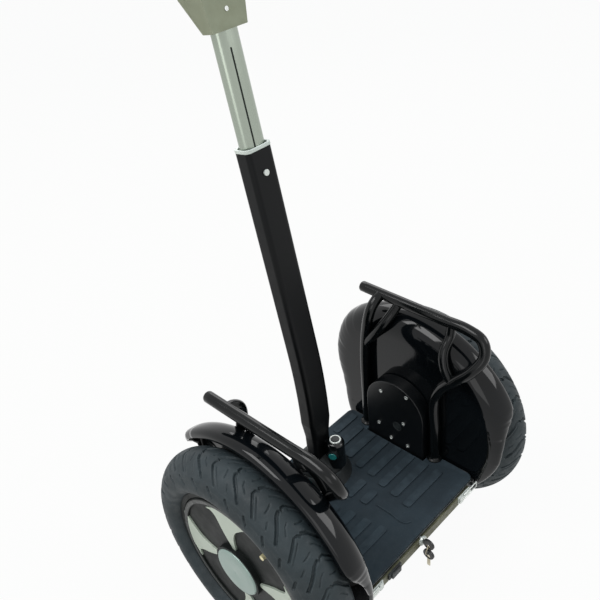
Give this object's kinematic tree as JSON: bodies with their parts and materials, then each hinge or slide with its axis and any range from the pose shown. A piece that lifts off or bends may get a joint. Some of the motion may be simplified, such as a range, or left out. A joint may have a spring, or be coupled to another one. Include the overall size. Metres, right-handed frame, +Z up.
{
  "type": "self-balancing scooter",
  "caption": "Two-wheeled self-balancing scooter: standing deck between large hub-motor wheels, glossy fenders, side rails and a height-adjustable steering pole.",
  "frame": {"origin": "on the floor under the middle of the bounding box, between the two wheels", "axes": "+X to the rider's right along the wheel axle, +Y forward, +Z up"},
  "size_m": [0.586, 0.4536, 1.1763],
  "materials": {
    "tyre": "matte tread rubber",
    "rim": "gloss dark",
    "valve": "satin",
    "motor_cover": "satin black",
    "fender": "high gloss black",
    "side_case": "satin black",
    "latch_metal": "polished",
    "rail": "gloss black",
    "screws": "satin",
    "deck_plate": "satin dark",
    "foot_mat": "matte",
    "frame": "satin black",
    "tray": "satin dark",
    "boards": "matte",
    "battery": "matte wrap",
    "rear_panel": "matte",
    "keys": "polished",
    "port": "matte",
    "pole_lower": "gloss black",
    "pole_collar": "gloss white",
    "pole_hub": "cast",
    "shaft_steel": "ground",
    "boot": "soft matte",
    "console": "gloss black",
    "power_button": "matte",
    "console_rings": "polished",
    "lamp_lens": "clear teal",
    "pole_inner": "bright satin",
    "head": "satin moulded",
    "display": "dark gloss",
    "handlebar": "satin black",
    "soft_rubber": "matte",
    "kickstand": "satin black",
    "wheel_trim": "polished",
    "rotor_core": "dull",
    "windings": "varnished windings"
  },
  "bodies": {
    "chassis": {"chassis_frame": "frame", "belly_tray": "tray", "control_boards": "boards", "deck_plate": "deck_plate", "foot_mat": "foot_mat", "side_case_left": "side_case", "side_case_right": "side_case", "case_screws": "screws", "axles": "shaft_steel", "stators": "windings", "fender_left": "fender", "fender_right": "fender", "rail_left": "rail", "rail_right": "rail", "rail_fittings": "rail", "boot": "boot", "lean_pivot": "shaft_steel"},
    "drawer": {"drawer_tray": "tray", "battery_pack": "battery", "rear_panel": "rear_panel", "panel_hardware": "latch_metal", "charge_port": "port"},
    "key": {"lock_core": "latch_metal", "key": "keys"},
    "spare_key": {"spare_key_ring": "keys"},
    "charge_cap": {"charge_cap": "port"},
    "pole_low": {"pole_lower": "pole_lower", "pole_collar": "pole_collar", "height_bolt": "screws", "pole_hub": "pole_hub", "pole_dome": "boot", "console": "console", "console_rings": "console_rings", "lamp_lens": "lamp_lens"},
    "power_button": {"power_button": "power_button"},
    "pole_high": {"pole_inner": "pole_inner", "head_rear": "head", "head_front": "head", "head_screws": "screws", "display_window": "display", "handlebar": "handlebar", "grips": "soft_rubber"},
    "kickstand": {"kickstand": "kickstand", "stand_feet": "soft_rubber"},
    "wheel_left": {"tyre_left": "tyre", "rim_left": "rim", "wheel_trim_left": "wheel_trim", "valve_left": "valve", "rotor_core_left": "rotor_core", "motor_cover_left": "motor_cover"},
    "latch_lever_left": {"latch_lever_left": "latch_metal"},
    "latch_bail_left": {"latch_bail_left": "latch_metal"},
    "wheel_right": {"tyre_right": "tyre", "rim_right": "rim", "wheel_trim_right": "wheel_trim", "valve_right": "valve", "rotor_core_right": "rotor_core", "motor_cover_right": "motor_cover"},
    "latch_lever_right": {"latch_lever_right": "latch_metal"},
    "latch_bail_right": {"latch_bail_right": "latch_metal"}
  },
  "joints": [
    {"name": "wheel_spin_left", "type": "hinge", "parent": "chassis", "child": "wheel_left", "pos_m": [-0.249, -0.01181, 0.215], "axis": [1, 0, 0], "continuous": true},
    {"name": "latch_lever_hinge_left", "type": "hinge", "parent": "drawer", "child": "latch_lever_left", "pos_m": [-0.1146, -0.18031, 0.146], "axis": [0, 0, 1], "range_deg": [0, 90]},
    {"name": "latch_bail_hinge_left", "type": "hinge", "parent": "latch_lever_left", "child": "latch_bail_left", "pos_m": [-0.1266, -0.18031, 0.146], "axis": [0, 0, 1], "range_deg": [-90, 0]},
    {"name": "wheel_spin_right", "type": "hinge", "parent": "chassis", "child": "wheel_right", "pos_m": [0.249, -0.01181, 0.215], "axis": [1, 0, 0], "continuous": true},
    {"name": "latch_lever_hinge_right", "type": "hinge", "parent": "drawer", "child": "latch_lever_right", "pos_m": [0.1146, -0.18031, 0.146], "axis": [0, 0, -1], "range_deg": [0, 90]},
    {"name": "latch_bail_hinge_right", "type": "hinge", "parent": "latch_lever_right", "child": "latch_bail_right", "pos_m": [0.1266, -0.18031, 0.146], "axis": [0, 0, -1], "range_deg": [-90, 0]},
    {"name": "drawer_slide", "type": "slide", "parent": "chassis", "child": "drawer", "axis": [0, -1, 0], "range_m": [0, 0.25]},
    {"name": "key_turn", "type": "hinge", "parent": "drawer", "child": "key", "pos_m": [0, -0.17681, 0.146], "axis": [0, 1, 0], "range_deg": [-90, 0]},
    {"name": "spare_key_swing", "type": "hinge", "parent": "key", "child": "spare_key", "pos_m": [0, -0.19181, 0.1392], "axis": [1, 0, 0], "range_deg": [-20, 12]},
    {"name": "charge_cap_hinge", "type": "hinge", "parent": "drawer", "child": "charge_cap", "pos_m": [-0.081, -0.18111, 0.1525], "axis": [-1, 0, 0], "range_deg": [0, 110]},
    {"name": "pole_lean", "type": "hinge", "parent": "chassis", "child": "pole_low", "pos_m": [0, 0.06469, 0.172], "axis": [0, 1, 0], "range_deg": [-12, 12], "stiffness_Nm_per_rad": 90},
    {"name": "pole_height", "type": "slide", "parent": "pole_low", "child": "pole_high", "axis": [0, 0.153, 0.9882], "range_m": [-0.13, 0.03]},
    {"name": "button_press", "type": "slide", "parent": "pole_low", "child": "power_button", "axis": [0, 0, -1], "range_m": [0, 0.0012], "stiffness_N_per_m": 400, "springref_m": -0.0006},
    {"name": "stand_fold", "type": "hinge", "parent": "chassis", "child": "kickstand", "pos_m": [0, 0.09219, 0.071], "axis": [-1, 0, 0], "range_deg": [0, 100]}
  ],
  "couplings": [
    {"joint": "latch_bail_hinge_left", "follows": "latch_lever_hinge_left", "ratio": -1},
    {"joint": "latch_bail_hinge_right", "follows": "latch_lever_hinge_right", "ratio": -1}
  ]
}
